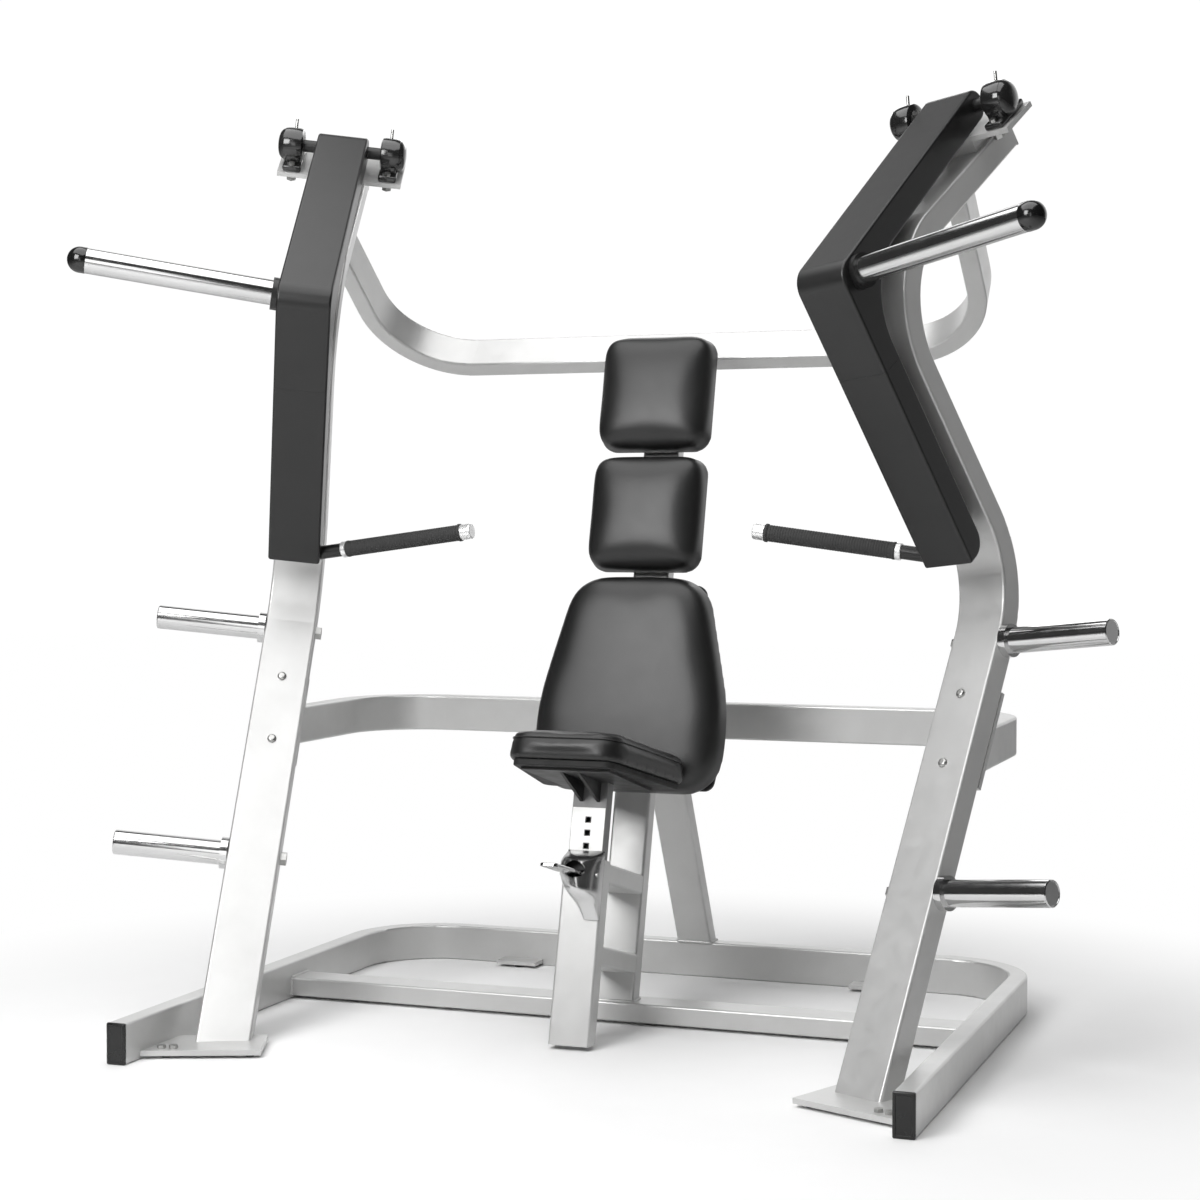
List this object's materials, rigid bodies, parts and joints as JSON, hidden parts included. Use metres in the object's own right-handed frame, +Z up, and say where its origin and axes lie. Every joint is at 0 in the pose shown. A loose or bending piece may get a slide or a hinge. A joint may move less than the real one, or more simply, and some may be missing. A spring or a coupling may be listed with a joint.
{
  "type": "chest press machine",
  "caption": "Plate-loaded seated chest press with independent pivoting arms, storage horns, an adjustable seat and a three-part back rest.",
  "frame": {"origin": "on the floor, on the plane of symmetry, midway along the base", "axes": "+X to the right of someone facing the machine from the front, +Y to the rear, +Z up"},
  "size_m": [1.96, 1.1904, 1.8195],
  "materials": {
    "frame_paint": "satin",
    "seat_frame_paint": "satin",
    "arm_paint": "gloss",
    "horn_chrome": "polished",
    "latch_chrome": "polished",
    "steel": "brushed",
    "handle_aluminium": "polished",
    "bearing_iron": "painted",
    "black_plastic": "matte",
    "black_rubber": "matte",
    "upholstery": "satin",
    "board": "painted black"
  },
  "bodies": {
    "frame": {"back_pad": "upholstery", "base_end_caps": "black_plastic", "base_tube": "frame_paint", "bearing_blocks": "bearing_iron", "bearing_covers": "black_plastic", "bearing_inserts": "steel", "block_bolts": "steel", "bumper_cups": "frame_paint", "crown_caps": "frame_paint", "floor_pads": "black_rubber", "foot_plates": "frame_paint", "front_cross_bar": "frame_paint", "front_post": "frame_paint", "grease_nipples": "steel", "head_pad": "upholstery", "head_plates": "frame_paint", "latch_cowl": "latch_chrome", "latch_hinge_pin": "steel", "middle_flanges": "frame_paint", "middle_pad": "upholstery", "middle_tube": "frame_paint", "middle_tube_bolts": "steel", "pad_boards": "board", "pad_brackets": "frame_paint", "pivot_saddles": "frame_paint", "plate_bolts": "steel", "post_rungs": "frame_paint", "rear_post": "frame_paint", "rear_strut": "frame_paint", "rest_bumpers": "black_rubber", "storage_horn_collars": "horn_chrome", "storage_horn_nuts": "steel", "storage_horns": "horn_chrome", "upper_tube": "frame_paint", "upright_left": "frame_paint", "upright_right": "frame_paint"},
    "left_arm": {"arm_upper_left": "arm_paint", "arm_lower_left": "arm_paint", "pivot_shaft_left": "steel", "arm_horn_left": "horn_chrome", "arm_horn_left_collar": "arm_paint", "arm_horn_left_cap": "black_rubber", "handle_bar_left": "arm_paint", "handle_rings_left": "handle_aluminium", "grip_left": "black_rubber"},
    "right_arm": {"arm_upper_right": "arm_paint", "arm_lower_right": "arm_paint", "pivot_shaft_right": "steel", "arm_horn_right": "horn_chrome", "arm_horn_right_collar": "arm_paint", "arm_horn_right_cap": "black_rubber", "handle_bar_right": "arm_paint", "handle_rings_right": "handle_aluminium", "grip_right": "black_rubber"},
    "seat": {"seat_tube": "seat_frame_paint", "seat_bracket": "seat_frame_paint", "seat_board": "board", "seat_pad": "upholstery"},
    "latch_lever": {"latch_lever": "latch_chrome"},
    "latch_pin": {"latch_pin": "steel"}
  },
  "joints": [
    {"name": "left_arm_swing", "type": "hinge", "parent": "frame", "child": "left_arm", "pos_m": [-0.64023, 0.15786, 1.75601], "axis": [-0.92, -0.3773, 0.1063], "range_deg": [0, 45]},
    {"name": "right_arm_swing", "type": "hinge", "parent": "frame", "child": "right_arm", "pos_m": [0.64023, 0.15786, 1.75601], "axis": [-0.92, 0.3773, -0.1063], "range_deg": [0, 45]},
    {"name": "seat_height", "type": "slide", "parent": "frame", "child": "seat", "axis": [0, 0.247, 0.969], "range_m": [-0.075, 0.05]},
    {"name": "latch_lever_turn", "type": "hinge", "parent": "frame", "child": "latch_lever", "pos_m": [0, -0.14161, 0.32181], "axis": [-1, 0, 0], "range_deg": [0, 18], "stiffness_Nm_per_rad": 0.5, "springref_deg": -17.19},
    {"name": "latch_pin_draw", "type": "slide", "parent": "frame", "child": "latch_pin", "axis": [0, -0.969, 0.247], "range_m": [0, 0.009]}
  ],
  "couplings": [
    {"joint": "latch_pin_draw", "follows": "latch_lever_turn", "m_per_rad": 0.0265}
  ]
}
